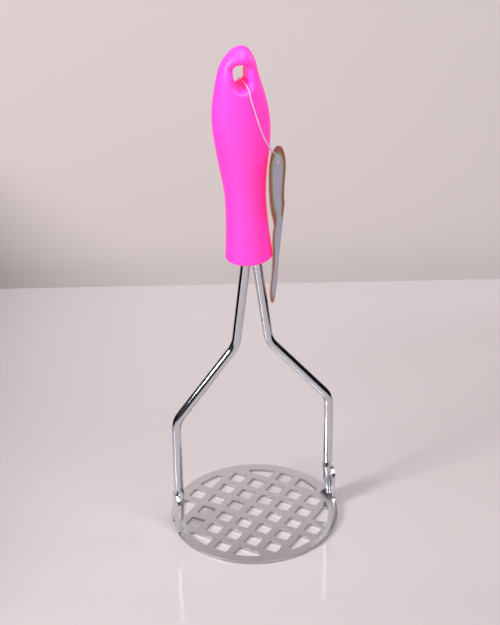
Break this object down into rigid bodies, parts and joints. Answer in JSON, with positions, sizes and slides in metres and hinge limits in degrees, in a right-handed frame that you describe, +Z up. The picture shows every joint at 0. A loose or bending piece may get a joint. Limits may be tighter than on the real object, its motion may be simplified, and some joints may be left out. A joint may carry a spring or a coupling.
{
  "type": "potato masher",
  "caption": "Potato masher: round pierced plate with folded-up ears, bent wire legs and a moulded palm handle with a hanging hole and a swing tag on a string.",
  "frame": {"origin": "centre of the plate's underside, on the surface that the masher stands on", "axes": "+Z up along the handle, +X towards the right leg, -Y towards the viewer of the picture"},
  "size_m": [0.0892, 0.09, 0.2668],
  "materials": {
    "masher_plate": "polished",
    "left_leg": "polished",
    "right_leg": "polished",
    "handle": "soft gloss",
    "tag_string": "clear nylon",
    "swing_tag": "printed matt card"
  },
  "bodies": {
    "masher": {"masher_plate": "masher_plate", "left_leg": "left_leg", "right_leg": "right_leg", "handle": "handle"},
    "hang_tag": {"tag_string": "tag_string", "swing_tag": "swing_tag"}
  },
  "joints": [
    {"name": "tag_swing", "type": "hinge", "parent": "masher", "child": "hang_tag", "pos_m": [-0.0027, 0, 0.2494], "axis": [0, -1, 0], "range_deg": [0, 75]}
  ]
}
